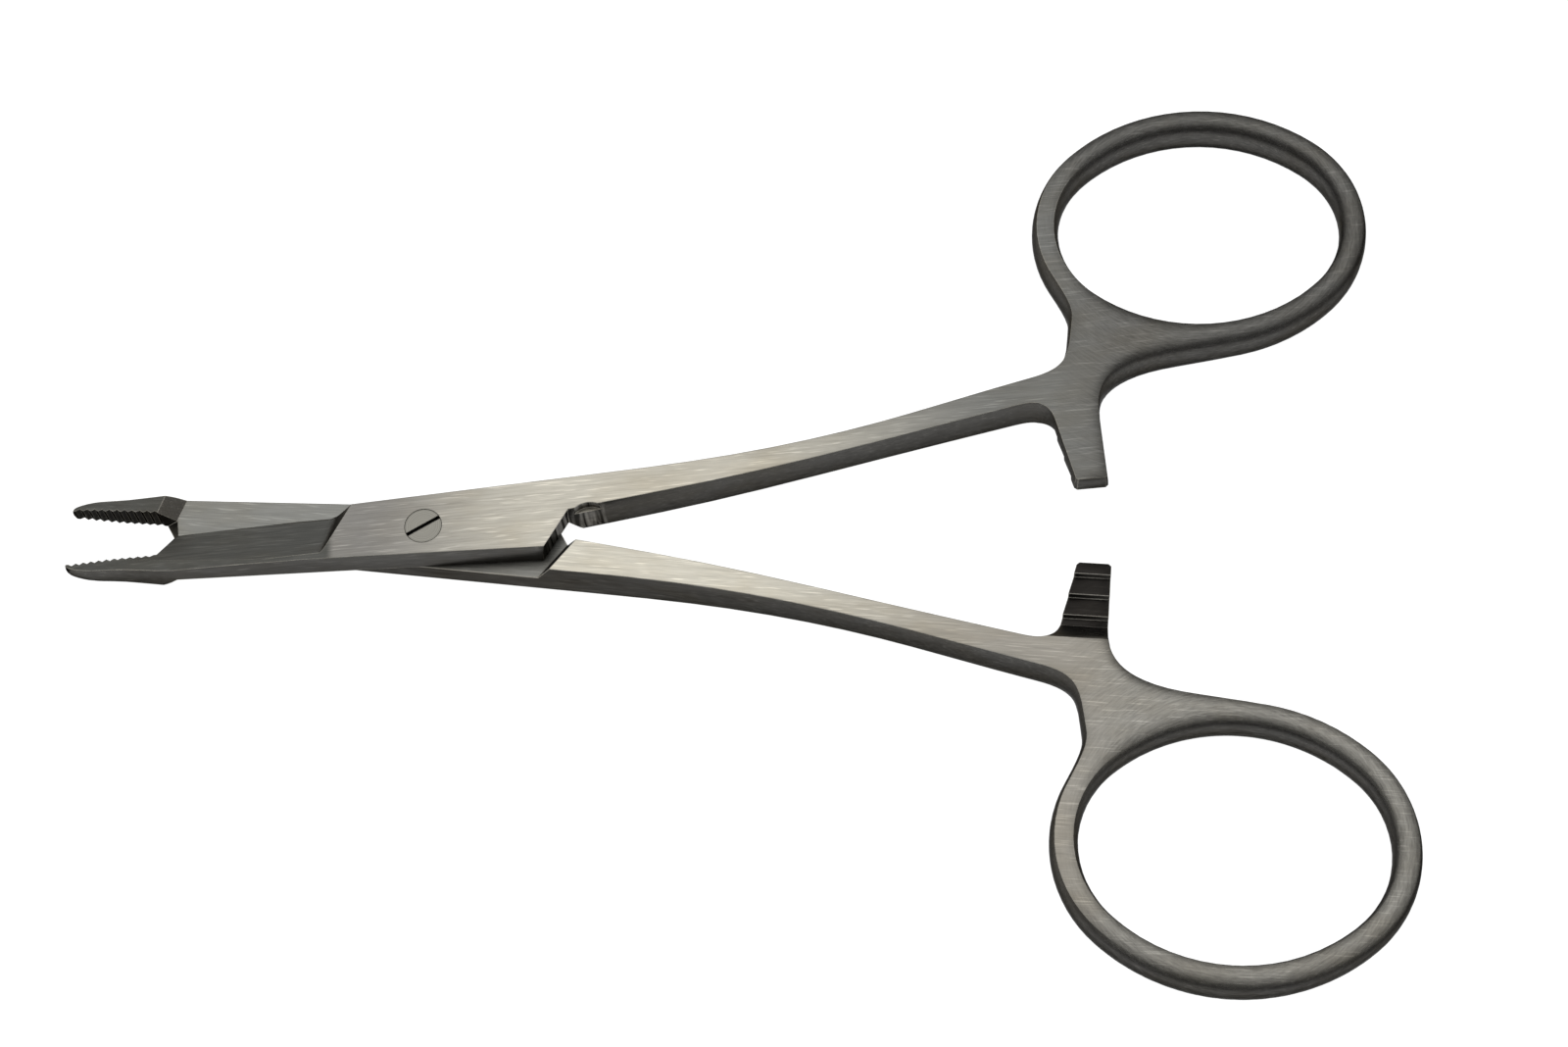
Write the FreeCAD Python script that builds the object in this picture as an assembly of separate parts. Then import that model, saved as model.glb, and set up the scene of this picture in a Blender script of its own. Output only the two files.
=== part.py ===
import FreeCAD, Part
import math
import os
from FreeCAD import Vector

# Needle holder with a cutting section behind its jaws, 12 cm long, with a lap joint and a screw.
# Millimetres. X runs from the joint to the finger rings, Z up, and the pivot axis is the Z axis.
# Each half is drawn closed, with its jaw face along X, and is then turned open about the pivot.

# Pose
rest_half_angle = 4.8

# Half thickness of the forging along its length
tip_height = 0.72
jaw_height = 1.5
joint_height = 2.0
shank_height = 1.65
ring_height = 1.8

# Stations along the length, measured from the pivot
jaw_tip = -32.1
serration_end = -24.0
blade_tip = -22.1
joint_start = -6.0
shank_start = 15.0
shank_thin_x = 40.0
neck_x = 53.2
ring_start = 54.0

# Half widths of the closed pair, from its middle line
jaw_side = 2.1
plate_corner_x = 10.3
plate_corner_y = 3.42
plate_inner_x = 12.6
plate_inner_y = 0.12
jaw_back = [(-27.2, -1.42), (-31.4, -0.7)]

# Shank: its outer and inner side, as x and y
shank_outer = [(25.0, 4.22), (40.0, 6.38)]
shank_inner = [(40.0, 4.3), (25.0, 1.72)]
neck_y = 9.34
neck_bend = [(57.1, 11.1), (58.05, 14.3)]
crotch = [(55.75, 5.0), (55.0, 6.4), (52.6, 6.6)]
root_bend = [(68.0, 10.95), (64.8, 10.55), (61.2, 8.85)]
arm_root_y = 5.0

# Finger hole: an oval of four arcs, placed by its side towards the joint and the middle line
hole_start_x = 58.38
hole_side_y = 13.7
hole_half_length = 12.72
hole_half_width = 10.3
hole_end_radius = 8.8
ring_tilt = -2.5
ring_band = 2.4
neck_meets_ring = -154.0
root_meets_ring = -80.0

# Rounding: the sides swell towards the parting plane, and the jaws' backs are rounded
side_bulge = 0.6
bulge_knee = 1.2
bulge_power = 2.5
shank_share = 0.35
plate_share = 0.6
jaw_share = 2.4

# Serrated face
serration_count = 11
serration_pitch = 0.7
serration_depth = 0.2
jaw_gap = 0.02

# Lap joint
lap_gap = 0.03
joint_clearance = 0.06
shoulder_run = 1.1
step_lean = 1.05
step_slant = 0.25
relief_x = 14.55
relief_y = -1.05
relief_radius = 1.89
relief_depth = 0.9

# Blade
cutting_edge = 0.22
recess_low_y = -1.5
recess_low_height = 1.75
recess_end_x = -8.2
recess_end_turn = 12.0
recess_floor_radius = 1.2

# Ratchet
arm_inner_x = 56.9
arm_outer_x = 59.9
arm_tip_y = -1.35
arm_corner = 0.25
tooth_pitch = 2.0
tooth_count = 3
tooth_depth = 0.5
tooth_back = 0.12
first_crest_y = -0.2
crest_gap = 0.03
ramp_start_y = 4.6
ramp_end_y = 6.9

# Screw
head_diameter = 3.25
head_rim = 0.2
neck_diameter = 2.2
thread_diameter = 1.8
screw_clearance = 0.03
screw_setback = 0.02
slot_width = 0.32
slot_depth = 0.5
slot_angle = 32.0

# The parting plane of the lap joint, and a length past every outside face
mid = joint_height
reach = joint_height + 0.2
far = 60.0


def point(x, y, z=0.0):
    return Vector(x, y, z)


def line(start, end):
    return Part.makeLine(start, end)


def edge_through(points, ways, is_arc):
    if is_arc:
        return Part.Arc(*points).toShape()
    if len(points) == 2 and not ways:
        return line(points[0], points[1])
    bent = Part.BSplineCurve()
    if ways:
        bent.interpolate(Points=points, InitialTangent=ways[0], FinalTangent=ways[1])
    else:
        bent.interpolate(points)
    return bent.toShape()


def prism(corners, run):
    return Part.Face(Part.makePolygon(corners + [corners[0]])).extrude(run)


def ruled(lower, upper):
    wires = [Part.makePolygon(corners + [corners[0]]) for corners in (lower, upper)]
    return Part.makeLoft(wires, True, True)


# The radius of the oval's long arcs, so that they meet the end arcs on a common tangent
end_offset = hole_half_length - hole_end_radius
hole_side_radius = ((end_offset ** 2 + hole_half_width ** 2 - hole_end_radius ** 2)
                    / (2.0 * (hole_half_width - hole_end_radius)))
side_offset = hole_side_radius - hole_half_width
arcs_meet = math.degrees(math.atan2(side_offset, end_offset))
ring_center = Vector(hole_start_x + hole_half_length, hole_side_y + hole_half_width, 0)


def arc_point(arc, grow, degrees):
    # a point of one of the oval's arcs, moved outwards, by its direction from the arc's centre
    x, y, radius = arc
    turn = math.radians(degrees)
    tilt = math.radians(ring_tilt)
    x += (radius + grow) * math.cos(turn)
    y += (radius + grow) * math.sin(turn)
    return ring_center + point(x * math.cos(tilt) - y * math.sin(tilt),
                               x * math.sin(tilt) + y * math.cos(tilt))


joint_arc = (-end_offset, 0.0, hole_end_radius)
end_arc = (end_offset, 0.0, hole_end_radius)
outer_arc = (0.0, -side_offset, hole_side_radius)
inner_arc = (0.0, side_offset, hole_side_radius)


def heading(degrees):
    turn = math.radians(degrees)
    return point(math.cos(turn), math.sin(turn))


class Stretch:
    # One edge of an outline. Its shares, at its start and its end, are the part of the side
    # bulge that it takes, and ways are the directions in which it starts and ends.
    def __init__(self, points, shares=(0.0, 0.0), ways=None, is_arc=False):
        self.points = points
        self.shares = shares
        self.ways = ways
        self.is_arc = is_arc
        self.edge = edge_through(points, ways, is_arc)

    def inward(self, place):
        along = self.edge.tangentAt(self.edge.Curve.parameter(place))
        return Vector(along.y, -along.x, 0)

    def share(self, place):
        start, end = self.edge.FirstParameter, self.edge.LastParameter
        part = (self.edge.Curve.parameter(place) - start) / (end - start)
        return self.shares[0] + (self.shares[1] - self.shares[0]) * part

    def moved(self, depth, height, before, after):
        places = []
        for place in self.points:
            shift = self.inward(place) * self.share(place) * depth
            if place is self.points[0]:
                shift = corner_shift(before.inward(place), before.shares[1] * depth,
                                     self.inward(place), self.shares[0] * depth)
            if place is self.points[-1]:
                shift = corner_shift(self.inward(place), self.shares[1] * depth,
                                     after.inward(place), after.shares[0] * depth)
            places.append(place + shift + Vector(0, 0, height))
        return edge_through(places, self.ways, self.is_arc)


def corner_shift(first, first_depth, second, second_depth):
    # the move of a corner that puts both of its sides inwards by their own depth
    turn = first.x * second.y - first.y * second.x
    if abs(turn) < 0.1:
        return first * first_depth
    across = first_depth * second.y - second_depth * first.y
    along = second_depth * first.x - first_depth * second.x
    return Vector(across / turn, along / turn, 0)


def swelling(stretches):
    # a solid with this outline at the parting plane, and sides that lean in above and below it
    wires = []
    for height in (-reach, -bulge_knee, 0.0, bulge_knee, reach):
        depth = side_bulge * (abs(height) / joint_height) ** bulge_power
        edges = []
        for index, stretch in enumerate(stretches):
            after = stretches[(index + 1) % len(stretches)]
            edges.append(stretch.moved(depth, mid + height, stretches[index - 1], after))
        wires.append(Part.Wire(edges))
    return Part.makeLoft(wires, True, False)


def arc_stretch(arc, grow, start, end, share):
    middle = (start + end) / 2.0
    return Stretch([arc_point(arc, grow, turn) for turn in (start, middle, end)],
                   (share, share), None, True)


def places(pairs):
    return [point(*pair) for pair in pairs]


def outline():
    # clockwise in plan from the end of the blade
    blade_end = point(serration_end, jaw_side)
    plate_side = point(plate_corner_x, plate_corner_y)
    neck = point(neck_x, neck_y)
    plate_way = plate_side - blade_end
    shank_way = heading(12.0)
    neck_end = arc_point(joint_arc, ring_band, neck_meets_ring)
    neck_end_way = heading(neck_meets_ring + ring_tilt - 90.0)
    root_start = arc_point(inner_arc, ring_band, root_meets_ring)
    root_way = heading(root_meets_ring + ring_tilt - 90.0)
    arm_root = point(arm_outer_x, arm_root_y)
    arm_outer = point(arm_outer_x, arm_tip_y + arm_corner)
    tip_outer = point(arm_outer_x - arm_corner, arm_tip_y)
    tip_inner = point(arm_inner_x + arm_corner, arm_tip_y)
    arm_inner = point(arm_inner_x, arm_tip_y + arm_corner)
    crotch_places = places(crotch)
    inner_way = heading(190.0)
    plate_inner = point(plate_inner_x, plate_inner_y)
    plate_corner = point(plate_corner_x, -plate_corner_y)
    blade_back = point(blade_tip, -jaw_side)
    tip = point(jaw_tip, -jaw_gap / 2.0)
    face_end = point(serration_end, -jaw_gap / 2.0)
    shank = (shank_share, shank_share)
    return [
        Stretch([blade_end, plate_side]),
        Stretch([plate_side, *places(shank_outer), neck], (0.0, shank_share),
                (plate_way, shank_way)),
        Stretch([neck, *places(neck_bend), neck_end], (shank_share, 1.0),
                (shank_way, neck_end_way)),
        arc_stretch(joint_arc, ring_band, 360.0 + neck_meets_ring, 180.0 - arcs_meet, 1.0),
        arc_stretch(outer_arc, ring_band, 180.0 - arcs_meet, arcs_meet, 1.0),
        arc_stretch(end_arc, ring_band, arcs_meet, -arcs_meet, 1.0),
        arc_stretch(inner_arc, ring_band, -arcs_meet, root_meets_ring, 1.0),
        Stretch([root_start, *places(root_bend), arm_root], (1.0, shank_share),
                (root_way, heading(-90.0))),
        Stretch([arm_root, arm_outer], shank),
        Stretch([arm_outer, tip_outer], shank),
        Stretch([tip_outer, tip_inner], shank),
        Stretch([tip_inner, arm_inner], shank),
        Stretch([arm_inner, crotch_places[0]], shank),
        Stretch(crotch_places, shank, (crotch_places[0] - arm_inner, inner_way)),
        Stretch([crotch_places[-1], *places(shank_inner), plate_inner], shank,
                (inner_way, heading(187.0))),
        Stretch([plate_inner, plate_corner]),
        Stretch([plate_corner, blade_back], (plate_share, plate_share)),
        Stretch([blade_back, *places(jaw_back), tip], (plate_share, jaw_share),
                (heading(174.0), heading(95.0))),
        Stretch([tip, face_end]),
        Stretch([face_end, blade_end]),
    ]


def finger_hole():
    return [arc_stretch(joint_arc, 0.0, 180.0 + arcs_meet, 180.0 - arcs_meet, -1.0),
            arc_stretch(outer_arc, 0.0, 180.0 - arcs_meet, arcs_meet, -1.0),
            arc_stretch(end_arc, 0.0, arcs_meet, -arcs_meet, -1.0),
            arc_stretch(inner_arc, 0.0, -arcs_meet, arcs_meet - 180.0, -1.0)]


def side_edges(sign):
    # the thickness along the length: jaw, level joint, shank, level ring
    def at(x, height):
        return point(x, -far / 2.0, mid + sign * height)

    level = point(1, 0, 0)
    jaw = edge_through([at(jaw_tip - 1.0, tip_height - 0.15), at(-27.0, 1.2),
                        at(blade_tip, jaw_height), at(joint_start, joint_height)],
                       (point(1, 0, sign * 0.16), level), False)
    joint = line(at(joint_start, joint_height), at(shank_start, joint_height))
    shank = edge_through([at(shank_start, joint_height), at(shank_thin_x, shank_height + 0.03),
                          at(ring_start, ring_height)], (level, level), False)
    ring = line(at(ring_start, ring_height), at(ring_start + far, ring_height))
    return [jaw, joint, shank, ring]


def side_profile():
    top = side_edges(1)
    bottom = side_edges(-1)
    ends = [line(bottom[0].Vertexes[0].Point, top[0].Vertexes[0].Point),
            line(bottom[-1].Vertexes[-1].Point, top[-1].Vertexes[-1].Point)]
    wire = Part.Wire(Part.__sortEdges__(top + bottom + ends))
    return Part.Face(wire).extrude(point(0, far * 1.5, 0))


def step_x(y, height):
    # the slanted wall where the jaw steps down to the lap, at a height over the parting plane
    return blade_tip - step_slant * (y + jaw_side) - step_lean * height


def lap_pocket():
    # the room for the other half: from the step behind the jaw to the shoulder before the shank
    shoulder_way = point(plate_inner_x - plate_corner_x, -plate_inner_y - plate_corner_y)
    shoulder_way.normalize()
    away = point(-shoulder_way.y, shoulder_way.x)
    wide = 2.0 * joint_height

    def corners(depth):
        start = point(plate_corner_x, plate_corner_y)
        start += away * (joint_clearance + shoulder_run * depth / joint_height)
        height = mid + lap_gap / 2.0 if depth == 0.0 else mid - depth
        lift = Vector(0, 0, height)
        return [point(step_x(-wide, depth), -wide) + lift,
                start + shoulder_way * (3.0 * wide) + lift,
                start - shoulder_way * wide + lift,
                point(step_x(wide, depth), wide) + lift]

    return ruled(corners(reach), corners(0.0))


def step_notch():
    # clears the blade's end from the step of the other jaw, which leans over it
    def corners(height):
        past = jaw_tip - far
        return [point(past, -jaw_gap / 2.0, mid + height),
                point(step_x(0.0, height) + joint_clearance, -jaw_gap / 2.0, mid + height),
                point(step_x(-2.0 * jaw_side, height) + joint_clearance, 2.0 * jaw_side,
                      mid + height),
                point(past, 2.0 * jaw_side, mid + height)]

    under = Part.makeBox(far, far, mid + lap_gap / 2.0,
                         point(blade_tip - far, -jaw_gap / 2.0, 0.0))
    return ruled(corners(0.0), corners(reach)).fuse(under)


def blade_hollow():
    # the ground face of the blade: it falls from the spine to the cutting edge, and runs out
    # behind in a round and a slant
    fall = point(0, jaw_side - recess_low_y, cutting_edge - recess_low_height)
    fall.normalize()
    rise = Vector(0, -fall.z, fall.y)
    across = fall + point(math.tan(math.radians(recess_end_turn)), 0)
    origin = point(0, jaw_side, mid + cutting_edge)
    setback = recess_floor_radius * math.tan(math.radians(22.5))
    slant = math.sqrt(0.5)

    def at(x, height):
        return origin - across * (2.0 * jaw_side) + point(x, 0) + rise * height

    start = at(recess_end_x - setback, 0.0)
    middle = at(recess_end_x - setback + recess_floor_radius * math.sin(math.radians(22.5)),
                recess_floor_radius * (1.0 - math.cos(math.radians(22.5))))
    end = at(recess_end_x + setback * slant, setback * slant)
    high = at(recess_end_x + reach * 2.0, reach * 2.0)
    outer = at(jaw_tip * 2.0, reach * 2.0)
    inner = at(jaw_tip * 2.0, 0.0)
    wire = Part.Wire([line(inner, start), Part.Arc(start, middle, end).toShape(), line(end, high),
                      line(high, outer), line(outer, inner)])
    return Part.Face(wire).extrude(across * (4.0 * jaw_side))


def serrations():
    # upright grooves that leave a row of teeth on the jaw's face
    groove = prism([point(-serration_pitch / 2.0, -jaw_gap / 2.0),
                    point(0.0, -jaw_gap / 2.0 - serration_depth),
                    point(serration_pitch / 2.0, -jaw_gap / 2.0),
                    point(0.0, serration_depth)], point(0, 0, 2.0 * mid))
    grooves = []
    for index in range(serration_count):
        place = serration_end - serration_pitch * (index + 0.5)
        grooves.append(groove.translated(point(place, 0)))
    return grooves


def ratchet_cut():
    # the catch on the arm's inner side: each tooth rises slowly and drops at its back
    crest = mid + crest_gap / 2.0
    floor = crest + tooth_depth
    outline_points = [point(0, arm_tip_y - tooth_pitch, -1.0),
                      point(0, arm_tip_y - tooth_pitch, floor)]
    for index in range(tooth_count):
        crest_y = first_crest_y + tooth_pitch * index
        if index > 0:
            outline_points.append(point(0, crest_y - tooth_pitch + tooth_back, floor))
        outline_points.append(point(0, crest_y, crest))
    last_crest_y = first_crest_y + tooth_pitch * (tooth_count - 1)
    outline_points += [point(0, last_crest_y + tooth_back, floor), point(0, ramp_start_y, floor),
                       point(0, ramp_end_y + 1.0, -1.0)]
    run = point(arm_outer_x - neck_x, 0)
    return prism([place + point(neck_x + 0.5, 0) for place in outline_points], run)


def forging():
    body = swelling(outline()).common(side_profile())
    body = body.cut(swelling(finger_hole()))
    relief = Part.makeCylinder(relief_radius, relief_depth * 2.0,
                               point(relief_x, relief_y, 2.0 * mid - relief_depth))
    cuts = [lap_pocket(), step_notch(), blade_hollow(), relief, ratchet_cut()] + serrations()
    return body.cut(cuts).Solids[0]


def screw():
    # countersunk, turned in one piece, and slotted; it sits along the pivot axis
    top = 2.0 * mid - screw_setback
    head_radius = head_diameter / 2.0
    neck_radius = neck_diameter / 2.0
    cone_end = top - head_rim - (head_radius - neck_radius)
    profile = [point(0, 0, 0), point(thread_diameter / 2.0, 0, 0),
               point(thread_diameter / 2.0, 0, mid - lap_gap / 2.0),
               point(neck_radius, 0, mid - lap_gap / 2.0), point(neck_radius, 0, cone_end),
               point(head_radius, 0, top - head_rim), point(head_radius, 0, top),
               point(0, 0, top)]
    body = Part.Face(Part.makePolygon(profile + [profile[0]])).revolve(Vector(), Vector(0, 0, 1),
                                                                       360)
    slot = Part.makeBox(2.0 * head_radius + 1.0, slot_width, slot_depth + 1.0,
                        point(-head_radius - 0.5, -slot_width / 2.0, top - slot_depth))
    slot.rotate(Vector(), Vector(0, 0, 1), slot_angle)
    return body.cut(slot)


def screw_seat():
    # the hole and countersink that clear the screw's neck and head
    top = 2.0 * mid
    head_radius = head_diameter / 2.0 + screw_clearance
    neck_radius = neck_diameter / 2.0 + screw_clearance
    rim_z = top - screw_setback - head_rim
    profile = [point(0, 0, 0), point(neck_radius, 0, 0),
               point(neck_radius, 0, rim_z - (head_radius - neck_radius)),
               point(head_radius, 0, rim_z), point(head_radius, 0, top + 1.0),
               point(0, 0, top + 1.0)]
    return Part.Face(Part.makePolygon(profile + [profile[0]])).revolve(Vector(), Vector(0, 0, 1),
                                                                       360)


upright = Vector(0, 0, 1)
blank = forging()

upper = blank.cut(screw_seat())
upper.rotate(Vector(), upright, rest_half_angle)

lower = blank.copy()
lower.rotate(Vector(0, 0, mid), Vector(1, 0, 0), 180)
lower = lower.cut(Part.makeCylinder(thread_diameter / 2.0, 2.0 * mid))
lower.rotate(Vector(), upright, -rest_half_angle)

os.makedirs("parts", exist_ok=True)
for name, shape in (("upper_half", upper), ("lower_half", lower), ("pivot_screw", screw())):
    shape.Solids[0].exportStep("parts/" + name + ".step")
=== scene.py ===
# %% [markdown]
# # A needle holder with a cutting section, lying open on a white ground
# The object is a small surgical hand tool: two forged halves of stainless steel, a lap joint
# with a slotted screw, serrated jaw tips, two short scissor blades behind them, a ratchet
# between the shanks and two finger rings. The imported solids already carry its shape, so this
# lesson is about the camera, the light and above all the finish of the steel.

# %% Load the frame
import math

import bpy
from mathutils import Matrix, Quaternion, Vector

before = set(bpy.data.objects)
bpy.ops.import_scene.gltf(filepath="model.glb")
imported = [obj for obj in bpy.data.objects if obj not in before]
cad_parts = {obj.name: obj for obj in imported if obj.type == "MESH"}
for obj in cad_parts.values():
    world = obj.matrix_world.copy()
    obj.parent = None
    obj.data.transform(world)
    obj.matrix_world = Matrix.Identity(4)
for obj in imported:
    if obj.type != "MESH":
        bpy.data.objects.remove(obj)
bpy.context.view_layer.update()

MM = 0.001

# %% [markdown]
# ## Camera
# The photograph looks down steeply from the side of the lower half, with a long lens and the
# camera turned a little. The place, the point it looks at, the lens and the turn are real
# values in the object's own frame, so the same camera also shows where each edge must fall.

# %% Camera
CAMERA_PLACE = Vector((47.95, -117.31, 227.18)) * MM
CAMERA_AIM = Vector((31.47, 0.69, 2.0)) * MM
CAMERA_ROLL = math.radians(-7.95)
LENS = 66.94
SENSOR_WIDTH = 36.0

camera_data = bpy.data.cameras.new("photo_camera")
camera_data.sensor_width = SENSOR_WIDTH
camera_data.lens = LENS
camera = bpy.data.objects.new("photo_camera", camera_data)
bpy.context.scene.collection.objects.link(camera)
camera.location = CAMERA_PLACE
camera.rotation_mode = "QUATERNION"
track = (CAMERA_AIM - CAMERA_PLACE).to_track_quat("-Z", "Y")
camera.rotation_quaternion = track @ Quaternion((0.0, 0.0, 1.0), CAMERA_ROLL)
bpy.context.scene.camera = camera
bpy.context.scene.view_settings.view_transform = "Standard"
print("Camera looks down at", round(math.degrees(math.asin(
    -(CAMERA_AIM - CAMERA_PLACE).normalized().z)), 1), "degrees")

# %% [markdown]
# ## Two helpers
# Every colour below is written as it would be picked on a screen, in sRGB. Blender's shaders
# work in linear light, so one function turns a hex code into linear values. The other adds a
# node and wires it in one call, which keeps each finish readable as a short list of steps.
# The Mix node holds a factor and then the same two sockets for numbers, vectors and colours,
# all named alike, so those are reached by their place in its list.

# %% Helpers for materials
FACTOR = 0
NUMBER_A, NUMBER_B, NUMBER_OUT = 2, 3, 0
VECTOR_A, VECTOR_B, VECTOR_OUT = 4, 5, 1
COLOUR_A, COLOUR_B, COLOUR_OUT = 6, 7, 2


def linear(hex_code):
    """An sRGB colour such as "A09C90" as linear red, green, blue and alpha."""
    values = [int(hex_code[i:i + 2], 16) / 255.0 for i in (0, 2, 4)]
    return [v / 12.92 if v <= 0.04045 else ((v + 0.055) / 1.055) ** 2.4 for v in values] + [1.0]


def add_node(tree, kind, inputs=None, **settings):
    """Adds a node with its settings; inputs maps a socket to a value or to another socket."""
    node = tree.nodes.new(kind)
    for name, value in settings.items():
        setattr(node, name, value)
    for name, value in (inputs or {}).items():
        if isinstance(value, bpy.types.NodeSocket):
            tree.links.new(value, node.inputs[name])
        else:
            node.inputs[name].default_value = value
    return node


print("A warm mid grey in linear light:", [round(v, 3) for v in linear("A09C90")])

# %% [markdown]
# ## Where on the steel
# The finish changes along the tool: crisp brushed plates at the joint, a ground hollow on the
# blades, softly rounded shanks and almost round rings. Painting masks by hand would need
# image textures, so the masks are worked out from the place on the piece, in millimetres and
# with the half turned back to where it lies when the tool is closed. X then runs along it, and
# Z counts from the ground, so the two halves part at the middle of their thickness.

# %% Place on a half, in millimetres
REST_HALF_ANGLE = math.radians(4.8)
SERRATION_END = -24.0
HOLLOW_END = -8.2
SHOULDER = 11.5
SHANK_START = 15.0
NECK = 53.0
CATCH_START = 55.3
RING_START = 58.0
RING_CENTRE = (71.1, 24.0)
RING_RADIUS = 12.7
PARTING_HEIGHT = 2.0


def place_on_half(tree, turn):
    """The place in millimetres, in the closed tool's frame."""
    coordinates = add_node(tree, "ShaderNodeTexCoord")
    mapping = add_node(tree, "ShaderNodeMapping", {
        "Vector": coordinates.outputs["Object"], "Rotation": (0.0, 0.0, -turn),
        "Scale": (1.0 / MM, 1.0 / MM, 1.0 / MM)})
    return mapping.outputs["Vector"]


def zone(tree, value, low, high):
    """Rises softly from 0 to 1 while value goes from low to high."""
    ramp = add_node(tree, "ShaderNodeMapRange", {
        "Value": value, "From Min": low, "From Max": high}, interpolation_type="SMOOTHSTEP")
    return ramp.outputs["Result"]


def overlap(tree, *zones):
    """The product of masks or shades: of masks, the steel that lies in all of the zones."""
    shared = zones[0]
    for other in zones[1:]:
        both = add_node(tree, "ShaderNodeMath", {0: shared, 1: other}, operation="MULTIPLY")
        shared = both.outputs[0]
    return shared


print("Ring centre lies", round(math.dist(RING_CENTRE, (0.0, 0.0)), 1), "mm from the pivot")

# %% [markdown]
# ## Softened edges
# After forging, the shanks and rings are belt-ground and tumbled, so their edges are round,
# while the plates keep thin edges. The solids have the main curves, and the last of the
# rounding is cheaper in shading: the Bevel node blends the normals across an edge. Its radius
# can't vary over a surface, so one wide and one narrow node are mixed by place.

# %% Softened edges
PLATE_EDGE = 0.12
RING_EDGE = 2.4


def softened_normal(tree, roundness):
    """A normal with thin soft edges where roundness is 0 and wide ones where it is 1, and how
    far the thin edge has turned it, which marks the edges that get a painted highlight."""
    narrow = add_node(tree, "ShaderNodeBevel", {"Radius": PLATE_EDGE * MM}, samples=6)
    wide = add_node(tree, "ShaderNodeBevel", {"Radius": RING_EDGE * MM}, samples=8)
    blend = add_node(tree, "ShaderNodeMix", {
        FACTOR: roundness, VECTOR_A: narrow.outputs["Normal"],
        VECTOR_B: wide.outputs["Normal"]}, data_type="VECTOR")
    normal = add_node(tree, "ShaderNodeVectorMath", {0: blend.outputs[VECTOR_OUT]},
                      operation="NORMALIZE")
    plain = add_node(tree, "ShaderNodeNewGeometry")
    turned = add_node(tree, "ShaderNodeVectorMath", {
        0: narrow.outputs["Normal"], 1: plain.outputs["Normal"]}, operation="DOT_PRODUCT")
    return normal.outputs["Vector"], turned.outputs["Value"]


print("Edge radii in mm:", PLATE_EDGE, "on the plates,", RING_EDGE, "on the rings")

# %% [markdown]
# ## Satin-brushed stainless steel: what each step reads
# The halves are martensitic stainless steel, brushed along their length and left satin, so that
# the lamp in theatre doesn't glare. To the eye that is a warm mid grey on top with fine
# scratches, a nearly black line where a rounded edge turns to the side, and dark walls; that
# line and the dark of the walls are painted shade.
# Every step below asks the same few things of a point on the steel: how far along it lies, how
# far from the middle, how high, how round the section is there, and how level the softened
# surface is. They are worked out once for each half and kept together under plain names.

# %% Reading a point on the steel
SHANK_ROUNDNESS = 0.18


def read_half(tree, turn):
    """The sockets that the finish of one half reads, by name."""
    place = place_on_half(tree, turn)
    axes = add_node(tree, "ShaderNodeSeparateXYZ", {0: place})
    along = axes.outputs["X"]
    across = add_node(tree, "ShaderNodeMath", {0: axes.outputs["Y"]}, operation="ABSOLUTE")

    # the section has thin edges on the plates, softer ones on the shanks, and is round at a ring
    shank = zone(tree, along, SHANK_START - 3.0, SHANK_START + 18.0)
    ring = zone(tree, along, NECK + 1.0, RING_START + 5.0)
    roundness = add_node(tree, "ShaderNodeMath", {
        0: overlap(tree, shank, SHANK_ROUNDNESS), 1: ring}, operation="MAXIMUM")
    normal, turned = softened_normal(tree, roundness.outputs[0])
    tilt = add_node(tree, "ShaderNodeSeparateXYZ", {0: normal})
    level = add_node(tree, "ShaderNodeMath", {0: tilt.outputs["Z"]}, operation="ABSOLUTE")
    return {"place": place, "along": along, "across": across.outputs[0],
            "height": axes.outputs["Z"], "ring": ring, "roundness": roundness.outputs[0],
            "normal": normal, "turned": turned, "level": level.outputs[0]}


print("The shanks take", SHANK_ROUNDNESS, "of the rings' roundness")

# %% [markdown]
# ## Tones of the level faces
# The joint's plates are painted the lightest, as painted light where they face the softbox.
# Towards the rings the top is painted greyer. The blades are ground hollow, and the hollow is
# painted darker as painted shade of its tilt; the level spine beside it is darker still. Two
# faces lie near the parting height: the lapped plane, ground flat and painted darker than the
# plates beside it as painted shade, and the catch, painted dark as painted shade of its teeth.

# %% Tones of the level faces
LAP_REACH = 0.25
CATCH_REACH = 0.56


def catch_zone(tree, half):
    """The milled teeth of the catch: close to the parting height, and only on the arm."""
    near_parting = add_node(tree, "ShaderNodeMath", {
        0: half["height"], 1: PARTING_HEIGHT, 2: CATCH_REACH}, operation="COMPARE")
    return overlap(tree, near_parting.outputs[0],
                   zone(tree, half["along"], CATCH_START, CATCH_START + 0.5))


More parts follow.
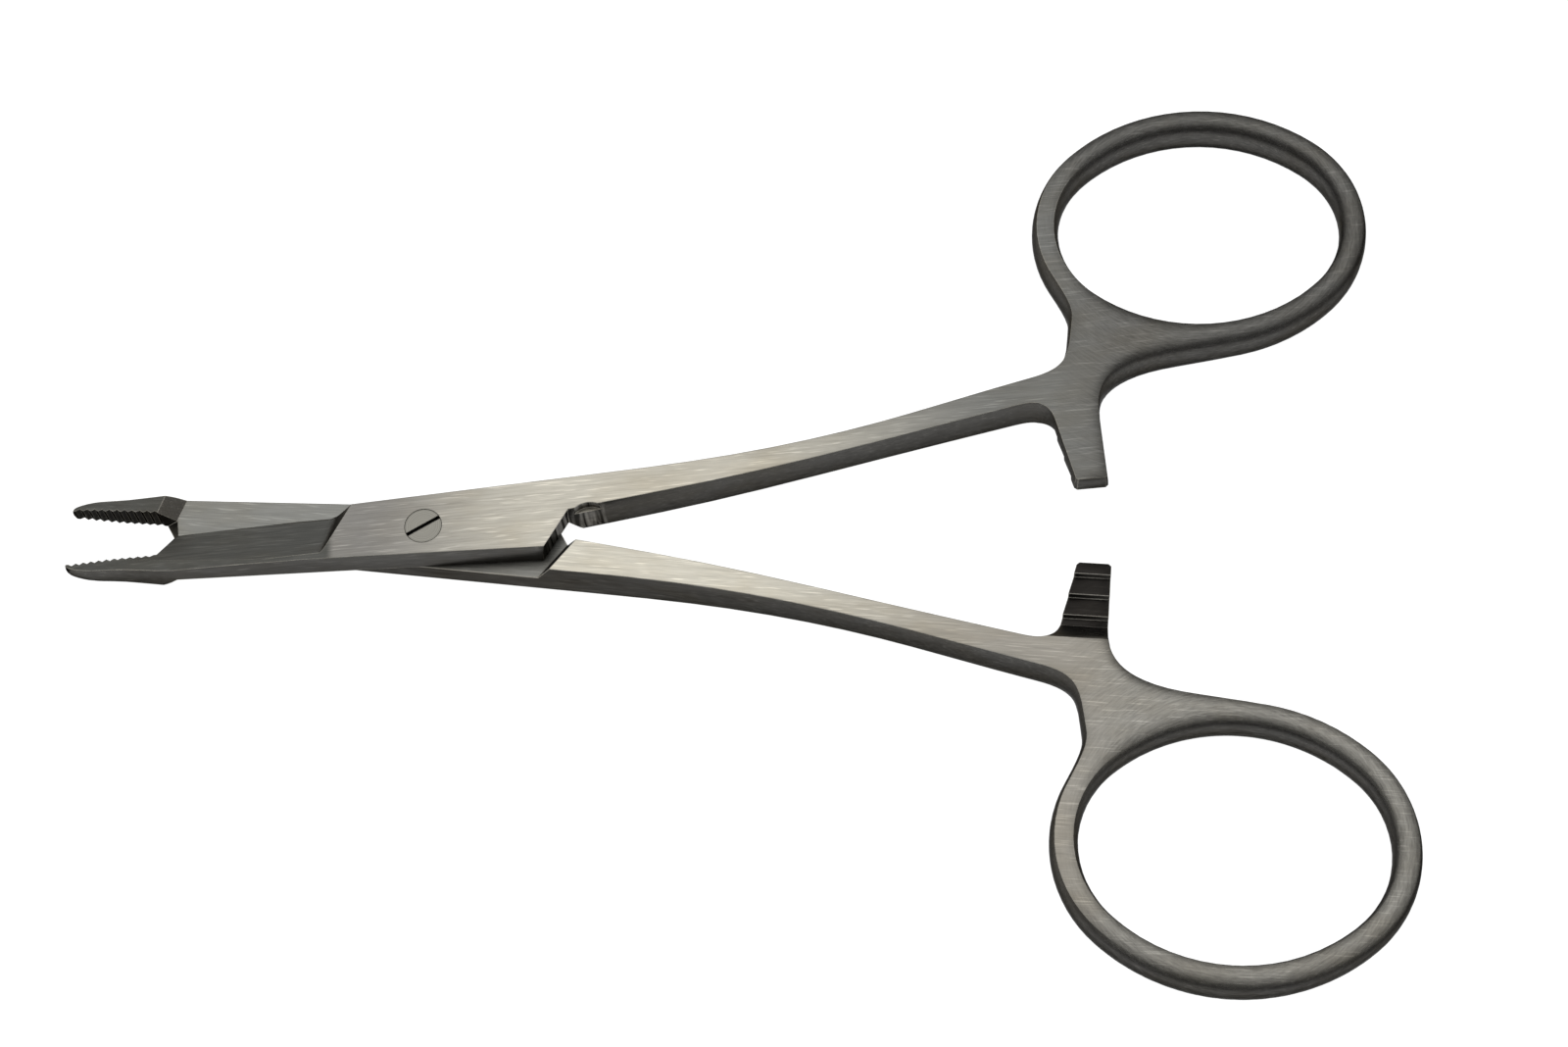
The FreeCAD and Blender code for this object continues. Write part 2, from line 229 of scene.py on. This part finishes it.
def top_tone(tree, half, catch, tones):
    """The colour of every face that looks up or down."""
    along, level = half["along"], half["level"]
    blade = add_node(tree, "ShaderNodeMix", {
        FACTOR: zone(tree, level, 0.975, 0.93), COLOUR_A: linear(tones["spine"]),
        COLOUR_B: linear(tones["hollow"])}, data_type="RGBA")
    at_parting = add_node(tree, "ShaderNodeMath", {
        0: half["height"], 1: PARTING_HEIGHT, 2: LAP_REACH}, operation="COMPARE")
    lapped = overlap(tree, at_parting.outputs[0], zone(tree, level, 0.985, 0.995))

    # painted light on the plates; painted shade on the hollow, the lapped plane and the catch
    tone = linear(tones["plate_front"])
    for mask, colour in (
            (zone(tree, along, HOLLOW_END + 2.0, SHOULDER), linear(tones["plate"])),
            (zone(tree, along, SHANK_START + 10.0, NECK), linear(tones["neck"])),
            (half["ring"], linear(tones["ring"])),
            (zone(tree, along, HOLLOW_END + 0.4, HOLLOW_END - 0.4), blade.outputs[COLOUR_OUT]),
            (lapped, linear(tones["lap"])),
            (catch, linear(tones["catch"]))):
        layer = add_node(tree, "ShaderNodeMix", {
            FACTOR: mask, COLOUR_A: tone, COLOUR_B: colour}, data_type="RGBA")
        tone = layer.outputs[COLOUR_OUT]
    return tone


print("The catch is dark within", CATCH_REACH, "mm of the parting height")

# %% [markdown]
# ## Painted shade of edges and sides, and painted highlights
# A rounded edge is painted with a dark line before it becomes the side, and the sides are
# painted dark; both are painted shade. Which is which follows from how level the softened
# surface is. Thin edges and the crests of the catch get a painted highlight; the rings have no
# thin edge to take it.

# %% Painted shade of edges and sides, and painted highlights
SIDE_LEVEL = (0.25, 0.58)
TOP_LEVEL = (0.66, 0.97)
PAINTED_HIGHLIGHT_TURN = (0.995, 0.90)
PAINTED_HIGHLIGHT_SHARE = 0.75


def tone_with_edges(tree, half, catch, top, tones):
    """The top's colour, with the painted shade of the dark line and the sides, and the painted
    highlight of the thin edges, laid over it.
    """
    # painted shade: a dark line where an edge turns to the side, and darker walls
    painted_dark_line = add_node(tree, "ShaderNodeMix", {
        FACTOR: half["roundness"], COLOUR_A: linear(tones["thin_edge_painted_shade"]),
        COLOUR_B: linear(tones["edge"])}, data_type="RGBA")
    side = add_node(tree, "ShaderNodeMix", {
        FACTOR: zone(tree, half["level"], *SIDE_LEVEL), COLOUR_A: linear(tones["wall"]),
        COLOUR_B: painted_dark_line.outputs[COLOUR_OUT]}, data_type="RGBA")
    body = add_node(tree, "ShaderNodeMix", {
        FACTOR: zone(tree, half["level"], *TOP_LEVEL), COLOUR_A: side.outputs[COLOUR_OUT],
        COLOUR_B: top}, data_type="RGBA")
    # painted highlight: thin edges and the crests of the catch are painted bright
    thin = add_node(tree, "ShaderNodeMath", {
        0: zone(tree, half["ring"], 1.0, 0.2), 1: catch}, operation="MAXIMUM")
    edge_painted_highlight = overlap(tree, zone(tree, half["turned"], *PAINTED_HIGHLIGHT_TURN), thin.outputs[0], PAINTED_HIGHLIGHT_SHARE)
    with_painted_highlight = add_node(tree, "ShaderNodeMix", {
        FACTOR: edge_painted_highlight, COLOUR_A: body.outputs[COLOUR_OUT],
        COLOUR_B: linear(tones["edge_painted_highlight"])}, data_type="RGBA")
    return with_painted_highlight.outputs[COLOUR_OUT]


print("Painted highlight covers", PAINTED_HIGHLIGHT_SHARE, "of a thin edge's own colour")

# %% [markdown]
# ## Serrations and file marks
# The serrations are pressed into the jaws' faces, and those faces are painted almost black as
# painted shade. The shoulder that closes the lap joint is filed by hand: its marks stand
# upright, about a third of a millimetre apart, and catch the light one by one.

# %% Serrations and file marks
SERRATED_DEPTH = 0.45
SERRATED_PAINTED_SHADE = 0.3
FILE_MARK = 0.3
FILE_MARK_LENGTH = 10.0
FILED_HALF_WIDTH = 3.0


def serration_painted_shade(tree, half):
    """Painted shade: darkens the upright faces of the jaws near the middle line."""
    pressed = overlap(
        tree, zone(tree, half["across"], SERRATED_DEPTH + 0.1, SERRATED_DEPTH),
        zone(tree, half["along"], SERRATION_END + 1.6, SERRATION_END + 0.6),
        zone(tree, half["level"], 0.6, 0.4))
    shade = add_node(tree, "ShaderNodeMapRange", {
        "Value": pressed, "To Min": 1.0, "To Max": SERRATED_PAINTED_SHADE})
    return shade.outputs["Result"]


def filing_shade(tree, half):
    """Light and dark upright marks on the shoulder of the lap joint."""
    stretched = add_node(tree, "ShaderNodeMapping", {
        "Vector": half["place"],
        "Scale": (1.0 / FILE_MARK, 1.0 / FILE_MARK, 1.0 / FILE_MARK_LENGTH)})
    noise = add_node(tree, "ShaderNodeTexNoise", {
        "Vector": stretched.outputs["Vector"], "Scale": 1.0, "Detail": 1.0})
    marks = add_node(tree, "ShaderNodeMapRange", {
        "Value": noise.outputs["Fac"], "From Min": 0.35, "From Max": 0.65, "To Min": 0.5,
        "To Max": 2.6})
    filed = overlap(
        tree, zone(tree, half["along"], SHOULDER - 2.0, SHOULDER - 1.0),
        zone(tree, half["level"], 0.6, 0.3),
        zone(tree, half["along"], SHANK_START + 1.2, SHANK_START + 0.4),
        zone(tree, half["across"], FILED_HALF_WIDTH + 0.3, FILED_HALF_WIDTH))
    shade = add_node(tree, "ShaderNodeMix", {
        FACTOR: filed, NUMBER_A: 1.0, NUMBER_B: marks.outputs["Result"]}, data_type="FLOAT")
    return shade.outputs[NUMBER_OUT]


print("File marks stand", FILE_MARK, "mm apart")

# %% [markdown]
# ## Grain
# A brush leaves streaks along the tool. A real scratch is a few hundredths of a millimetre
# wide; at 11 pixels a millimetre it wouldn't show, so the streaks are drawn at about 0.11 mm,
# with broad bands four times as wide. The rings are tumbled, and polished by fingers, so
# their grain is short and follows the band round. A few stray scratches from use cross it all.

# %% Grain
GRAIN_ACROSS = 0.11
GRAIN_ALONG = 4.0
BAND_SHARE = 0.4
TUMBLED_GRAIN = 0.18
SCRATCH_TURN = math.radians(-9.0)
SCRATCH_LENGTH = 2.5
SCRATCH_WIDTH = 0.12


def brushed_grain(tree, place, across, along, name):
    """A noise drawn out along X, from 0 to 1: streaks of this width and length in mm."""
    stretch = add_node(tree, "ShaderNodeMapping", {
        "Vector": place, "Scale": (1.0 / along, 1.0 / across, 1.0 / across)})
    noise = add_node(tree, "ShaderNodeTexNoise", {
        "Vector": stretch.outputs["Vector"], "Scale": 1.0, "Detail": 3.0, "Roughness": 0.65},
        label=name)
    return noise.outputs["Fac"]


def place_around_ring(tree, place, side):
    """The place read round the finger ring: the way along the band, and out from its centre."""
    centre = (RING_CENTRE[0], RING_CENTRE[1] * side, 0.0)
    arm = add_node(tree, "ShaderNodeVectorMath", {0: place, 1: centre}, operation="SUBTRACT")
    parts = add_node(tree, "ShaderNodeSeparateXYZ", {0: arm.outputs["Vector"]})
    angle = add_node(tree, "ShaderNodeMath", {0: parts.outputs["Y"], 1: parts.outputs["X"]},
                     operation="ARCTAN2")
    way = add_node(tree, "ShaderNodeMath", {0: angle.outputs[0], 1: RING_RADIUS},
                   operation="MULTIPLY")
    flat = add_node(tree, "ShaderNodeVectorMath", {0: arm.outputs["Vector"], 1: (1.0, 1.0, 0.0)},
                    operation="MULTIPLY")
    out = add_node(tree, "ShaderNodeVectorMath", {0: flat.outputs["Vector"]},
                   operation="LENGTH")
    round_place = add_node(tree, "ShaderNodeCombineXYZ", {
        "X": way.outputs[0], "Y": out.outputs["Value"], "Z": parts.outputs["Z"]})
    return round_place.outputs["Vector"]


def steel_grain(tree, half, turn):
    """Streaks along the tool that pass into a short grain round the ring, from 0 to 1."""
    place = half["place"]
    fine = brushed_grain(tree, place, GRAIN_ACROSS, GRAIN_ALONG, "fine scratches")
    broad = brushed_grain(tree, place, GRAIN_ACROSS * 4.0, GRAIN_ALONG * 2.0, "brush bands")
    around = place_around_ring(tree, place, math.copysign(1.0, turn))
    tumbled = brushed_grain(tree, around, TUMBLED_GRAIN, TUMBLED_GRAIN * 6.0, "ring polish")
    streaks = add_node(tree, "ShaderNodeMix", {
        FACTOR: BAND_SHARE, NUMBER_A: fine, NUMBER_B: broad}, data_type="FLOAT")
    grain = add_node(tree, "ShaderNodeMix", {
        FACTOR: half["ring"], NUMBER_A: streaks.outputs[NUMBER_OUT], NUMBER_B: tumbled},
        data_type="FLOAT")
    return grain.outputs[NUMBER_OUT]


def stray_scratches(tree, half):
    """Lightens a few longer scratches that cross the brushing at a small angle."""
    turned = add_node(tree, "ShaderNodeMapping", {
        "Vector": half["place"], "Rotation": (0.0, 0.0, SCRATCH_TURN),
        "Scale": (1.0 / SCRATCH_LENGTH, 1.0 / SCRATCH_WIDTH, 1.0 / SCRATCH_WIDTH)})
    noise = add_node(tree, "ShaderNodeTexNoise", {
        "Vector": turned.outputs["Vector"], "Scale": 1.0, "Detail": 1.0})
    light = add_node(tree, "ShaderNodeMapRange", {
        "Value": noise.outputs["Fac"], "From Min": 0.60, "From Max": 0.72, "To Min": 1.0,
        "To Max": 1.45})
    return light.outputs["Result"]


print("Streaks are drawn", GRAIN_ACROSS, "mm wide and", GRAIN_ALONG, "mm long")

# %% [markdown]
# ## Stains and gaps
# Steam and handling leave large faint warm stains on stainless steel. Its narrow gaps get
# painted shade: the joint line, the corners of the ratchet and the screw's rim. The
# Ambient Occlusion node finds those by how much of the sky a point can't see close by.

# %% Stains and gaps
STAIN_SIZE = 9.0
STAIN_SHARE = 0.35
GAP_REACH = 0.7
GAP_PAINTED_SHADE = 0.3


def stained(tree, half, colour, stain):
    """The colour, multiplied by the stain's own in large soft patches."""
    patches = brushed_grain(tree, half["place"], STAIN_SIZE * 0.5, STAIN_SIZE, "stains")
    share = add_node(tree, "ShaderNodeMapRange", {
        "Value": patches, "From Min": 0.45, "From Max": 0.70, "To Min": 0.0,
        "To Max": STAIN_SHARE})
    result = add_node(tree, "ShaderNodeMix", {
        FACTOR: share.outputs["Result"], COLOUR_A: colour, COLOUR_B: linear(stain)},
        data_type="RGBA", blend_type="MULTIPLY")
    return result.outputs[COLOUR_OUT]


def gap_painted_shade(tree):
    """Painted shade: darkens the steel's colour inside narrow gaps."""
    crevice = add_node(tree, "ShaderNodeAmbientOcclusion", {"Distance": GAP_REACH * MM},
                       samples=8)
    shade = add_node(tree, "ShaderNodeMapRange", {
        "Value": crevice.outputs["AO"], "From Min": 0.2, "From Max": 0.8,
        "To Min": GAP_PAINTED_SHADE, "To Max": 1.0})
    return shade.outputs["Result"]


print("Gaps are looked for within", GAP_REACH, "mm")

# %% [markdown]
# ## The steel put together
# One shader does it: metallic 1, the default IOR, and colour, roughness and a small bump that
# all follow the same grain. A real satin finish has a roughness of about 0.3 to 0.45. The
# photograph's light reaches the two halves differently, so they have their own top tones.

# %% Satin-brushed stainless steel
GRAIN_DEPTH = 0.012
SATIN_ROUGHNESS = (0.30, 0.44)


def satin_steel(name, turn, tones):
    """Satin-brushed stainless for one half; tones names a colour for each part of it."""
    material = bpy.data.materials.new(name)
    material.use_nodes = True
    tree = material.node_tree
    shader = tree.nodes["Principled BSDF"]
    half = read_half(tree, turn)
    catch = catch_zone(tree, half)
    top = top_tone(tree, half, catch, tones)
    colour = tone_with_edges(tree, half, catch, top, tones)
    colour = stained(tree, half, colour, tones["stain"])

    grain = steel_grain(tree, half, turn)
    shade = add_node(tree, "ShaderNodeMapRange", {
        "Value": grain, "From Min": 0.25, "From Max": 0.75, "To Min": 0.62, "To Max": 1.28})
    # the grain, the file marks and stray scratches, and the painted shade in gaps and on the
    # serrations scale the colour together
    shade = overlap(tree, shade.outputs["Result"], gap_painted_shade(tree), filing_shade(tree, half),
                    serration_painted_shade(tree, half), stray_scratches(tree, half))
    shaded = add_node(tree, "ShaderNodeVectorMath", {0: colour, "Scale": shade},
                      operation="SCALE")

    roughness = add_node(tree, "ShaderNodeMapRange", {
        "Value": grain, "From Min": 0.25, "From Max": 0.75, "To Min": SATIN_ROUGHNESS[0],
        "To Max": SATIN_ROUGHNESS[1]})
    bump = add_node(tree, "ShaderNodeBump", {
        "Strength": 0.6, "Distance": GRAIN_DEPTH * MM, "Height": grain,
        "Normal": half["normal"]})
    tree.links.new(shaded.outputs["Vector"], shader.inputs["Base Color"])
    tree.links.new(roughness.outputs["Result"], shader.inputs["Roughness"])
    tree.links.new(bump.outputs["Normal"], shader.inputs["Normal"])
    shader.inputs["Metallic"].default_value = 1.0
    # the dull sides gain little sheen at a glancing angle
    shader.inputs["Specular Tint"].default_value = linear("969696")
    return material


# these tones hold painted light and shade: lighter plates, dark lines, walls, hollow, lap and
# catch, and bright edges
upper_tones = {"plate_front": "787672", "plate": "ACA89D", "neck": "696966", "ring": "5E5D5A",
               "spine": "4E4E4B", "hollow": "5C5C59", "lap": "7A7A76", "thin_edge_painted_shade": "52504C",
               "edge": "1E1D1C", "wall": "504F4D", "catch": "2A2826", "edge_painted_highlight": "B8B5AC",
               "stain": "E8DFCE"}
lower_tones = dict(upper_tones, plate="B8B4A8", neck="8C8880", ring="82807A")
for node, turn, tones in (("upper_half", REST_HALF_ANGLE, upper_tones),
                          ("lower_half", -REST_HALF_ANGLE, lower_tones)):
    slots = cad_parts[node].data.materials
    slots.clear()
    slots.append(satin_steel("satin_brushed_stainless_" + node, turn, tones))
    print(node, "carries", slots[0].name, "with", len(slots[0].node_tree.nodes), "nodes")

# %% [markdown]
# ## Turned screw steel
# The screw is turned from bar and its head faced flush with the plate. The cutter leaves faint
# rings round the axis, and the sawn slot gets painted shade. The rings come from a noise that
# only reads the distance from the axis, and the slot's painted shade from its own depth. The
# head's sides are painted darker than its top, as painted shade.

# %% Turned screw steel
TURNING_PITCH = 0.09
TURNING_DEPTH = 0.008
SLOT_REACH = 0.6
TURNED_ROUGHNESS = 0.34

screw_steel = bpy.data.materials.new("turned_stainless_screw")
screw_steel.use_nodes = True
tree = screw_steel.node_tree
shader = tree.nodes["Principled BSDF"]
from_axis = add_node(tree, "ShaderNodeVectorMath", {
    0: place_on_half(tree, 0.0), 1: (1.0, 1.0, 0.0)}, operation="MULTIPLY")
radius = add_node(tree, "ShaderNodeVectorMath", {0: from_axis.outputs["Vector"]},
                  operation="LENGTH")
turning = add_node(tree, "ShaderNodeTexNoise", {
    "W": radius.outputs["Value"], "Scale": 1.0 / TURNING_PITCH, "Detail": 2.0},
    noise_dimensions="1D")
screw_normal = softened_normal(tree, 0.0)[0]
tilt = add_node(tree, "ShaderNodeSeparateXYZ", {0: screw_normal})
# painted shade in the slot and at the head's rim
crevice = add_node(tree, "ShaderNodeAmbientOcclusion", {"Distance": SLOT_REACH * MM}, samples=8)
slot_and_rim_painted_shade = add_node(tree, "ShaderNodeMapRange", {
    "Value": crevice.outputs["AO"], "From Min": 0.3, "From Max": 0.9, "To Min": 0.4,
    "To Max": 1.0})
rings = add_node(tree, "ShaderNodeMapRange", {
    "Value": turning.outputs["Fac"], "From Min": 0.3, "From Max": 0.7, "To Min": 0.85,
    "To Max": 1.15})
# painted shade: the head's sides take a darker colour than its top
colour = add_node(tree, "ShaderNodeMix", {
    FACTOR: zone(tree, tilt.outputs["Z"], 0.5, 0.95), COLOUR_A: linear("3A3835"),
    COLOUR_B: linear("7C7A73")}, data_type="RGBA")
shaded = add_node(tree, "ShaderNodeVectorMath", {
    0: colour.outputs[COLOUR_OUT],
    "Scale": overlap(tree, slot_and_rim_painted_shade.outputs["Result"], rings.outputs["Result"])}, operation="SCALE")
bump = add_node(tree, "ShaderNodeBump", {
    "Strength": 0.5, "Distance": TURNING_DEPTH * MM, "Height": turning.outputs["Fac"],
    "Normal": screw_normal})
tree.links.new(shaded.outputs["Vector"], shader.inputs["Base Color"])
tree.links.new(bump.outputs["Normal"], shader.inputs["Normal"])
shader.inputs["Metallic"].default_value = 1.0
shader.inputs["Roughness"].default_value = TURNED_ROUGHNESS
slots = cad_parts["pivot_screw"].data.materials
slots.clear()
slots.append(screw_steel)
print("pivot_screw carries", screw_steel.name)

# %% [markdown]
# ## White ground
# The photograph is a product shot on pure white. A lamp strong enough to make paper clip would
# also burn out the steel, so the ground is an ordinary pale sheet that glows only for rays from
# the camera and for reflections. It still takes the tool's own soft shadow.

# %% White ground
FLOOR_GLOW = 0.95
FLOOR_SIZE = 4.0
FLOOR_GAP = 0.05

bpy.ops.mesh.primitive_plane_add(size=FLOOR_SIZE, location=(0.0, 0.0, -FLOOR_GAP * MM))
floor = bpy.context.object
floor.name = "floor"
floor_paint = bpy.data.materials.new("white_paper")
floor_paint.use_nodes = True
tree = floor_paint.node_tree
tree.nodes.clear()
output = add_node(tree, "ShaderNodeOutputMaterial")
paint = add_node(tree, "ShaderNodeBsdfDiffuse", {"Color": linear("909090")})
ray = add_node(tree, "ShaderNodeLightPath")
seen = add_node(tree, "ShaderNodeMath", {
    0: ray.outputs["Is Camera Ray"], 1: ray.outputs["Is Glossy Ray"]}, operation="MAXIMUM")
seen = add_node(tree, "ShaderNodeMath", {
    0: seen.outputs[0], 1: ray.outputs["Is Transmission Ray"]}, operation="MAXIMUM")
strength = add_node(tree, "ShaderNodeMath", {0: seen.outputs[0], 1: FLOOR_GLOW},
                    operation="MULTIPLY")
glow = add_node(tree, "ShaderNodeEmission", {"Strength": strength.outputs[0]})
both = add_node(tree, "ShaderNodeAddShader", {0: paint.outputs[0], 1: glow.outputs[0]})
tree.links.new(both.outputs[0], output.inputs["Surface"])
floor.data.materials.append(floor_paint)
print("The ground glows at", FLOOR_GLOW, "and is lit for the rest")

# %% [markdown]
# ## Light
# Small shiny goods are photographed in a white tent. Steel shows what it mirrors, so the tent
# gives it an even grey from every side. Its opening for the camera is darker, and deepens the
# line where a rounded edge turns towards the camera. The tent here is the world: its level
# falls off round the opening's direction. One large softbox hangs behind and over the tool,
# where the level plates mirror it. Seen from low down the walls mirror the ground and the
# level faces mirror the tent's far side, so the steel keeps its grey from every side.

# %% Light
TENT_LEVEL = 0.85
OPENING_LEVEL = 0.20
OPENING_WAY = Vector((0.0, -0.8, 0.6))
OPENING_EDGE = math.radians(28.0)
OPENING_CORE = math.radians(10.0)
SOFTBOX_SIZE = (0.8, 0.55)
SOFTBOX_PLACE = Vector((0.02, 0.34, 0.66))
SOFTBOX_AIM = Vector((0.03, 0.0, 0.0))
SOFTBOX_WATTS = 1.1

world = bpy.data.worlds.new("studio")
bpy.context.scene.world = world
world.use_nodes = True
background = world.node_tree.nodes["Background"]
background.inputs["Color"].default_value = linear("FFFFFF")
tent = add_node(world.node_tree, "ShaderNodeTexCoord")
to_opening = add_node(world.node_tree, "ShaderNodeVectorMath", {
    0: tent.outputs["Generated"], 1: OPENING_WAY}, operation="DOT_PRODUCT")
tent_level = add_node(world.node_tree, "ShaderNodeMapRange", {
    "Value": to_opening.outputs["Value"], "From Min": math.cos(OPENING_EDGE),
    "From Max": math.cos(OPENING_CORE), "To Min": TENT_LEVEL, "To Max": OPENING_LEVEL},
    interpolation_type="SMOOTHSTEP")
world.node_tree.links.new(tent_level.outputs["Result"], background.inputs["Strength"])

lamp = bpy.data.lights.new("softbox", "AREA")
lamp.shape = "RECTANGLE"
lamp.size, lamp.size_y = SOFTBOX_SIZE
lamp.energy = SOFTBOX_WATTS
softbox = bpy.data.objects.new("softbox", lamp)
bpy.context.scene.collection.objects.link(softbox)
softbox.location = SOFTBOX_PLACE
softbox.rotation_euler = (SOFTBOX_AIM - SOFTBOX_PLACE).to_track_quat("-Z", "Y").to_euler()
print("The softbox shines at", round(
    SOFTBOX_WATTS / (math.pi * SOFTBOX_SIZE[0] * SOFTBOX_SIZE[1]), 2), "where white is 1")
